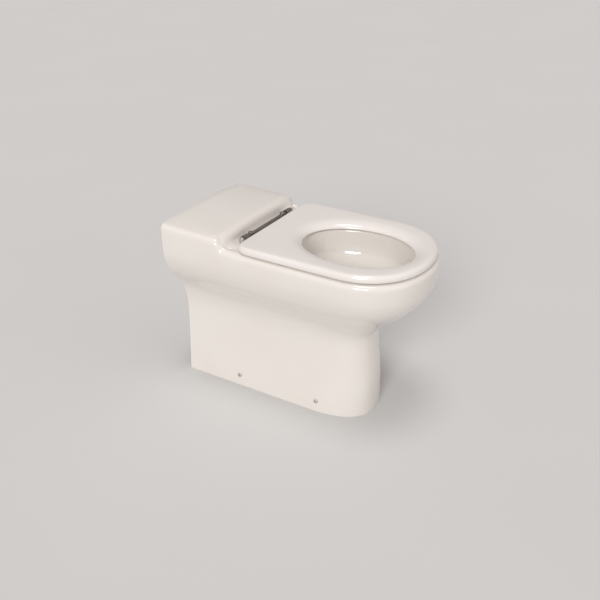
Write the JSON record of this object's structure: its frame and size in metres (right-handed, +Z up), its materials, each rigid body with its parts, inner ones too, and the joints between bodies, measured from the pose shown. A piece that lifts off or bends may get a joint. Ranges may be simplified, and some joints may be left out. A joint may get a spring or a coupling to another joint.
{
  "type": "back to wall toilet",
  "caption": "Floor-standing glazed china pan that stands back to the wall, with a raised rear block, a ring seat on a bar hinge, a horizontal outlet and hidden floor fixings",
  "frame": {"origin": "centre of the bounding box in X and Y, on the floor plane in Z", "axes": "+Z up; -Y is the nose of the pan, +Y the wall; the wall plane is y = +0.345 m; X runs across the pan, which mirrors about x = 0"},
  "size_m": [0.373, 0.69, 0.499],
  "materials": {
    "china": "glossy warm white glaze",
    "seat_plastic": "gloss white thermoset",
    "steel": "polished stainless steel",
    "rubber": "matt",
    "nylon": "natural nylon"
  },
  "bodies": {
    "pan": {"pan": "china", "inlet_seal": "rubber", "hinge_rod": "steel", "rod_cap_left": "steel", "rod_cap_right": "steel", "hinge_post_left": "steel", "hinge_post_right": "steel", "post_gasket_left": "rubber", "post_gasket_right": "rubber", "grub_screws": "steel", "seat_plug_left": "rubber", "seat_plug_right": "rubber", "seat_studs": "steel", "seat_nuts": "steel", "floor_bracket_left_rear": "nylon", "floor_bracket_left_front": "nylon", "floor_bracket_right_rear": "nylon", "floor_bracket_right_front": "nylon", "bracket_nuts": "steel", "side_sleeves": "nylon", "side_screws": "steel"},
    "seat": {"seat_ring": "seat_plastic", "seat_bracket_left": "steel", "seat_bracket_right": "steel", "bracket_screws": "steel", "hinge_bush_left": "nylon", "hinge_bush_right": "nylon", "buffers_rear": "rubber", "buffers_front": "rubber"}
  },
  "joints": [
    {"name": "seat_hinge", "type": "hinge", "parent": "pan", "child": "seat", "pos_m": [0, 0.134, 0.4675], "axis": [-1, 0, 0], "range_deg": [0, 105]}
  ]
}
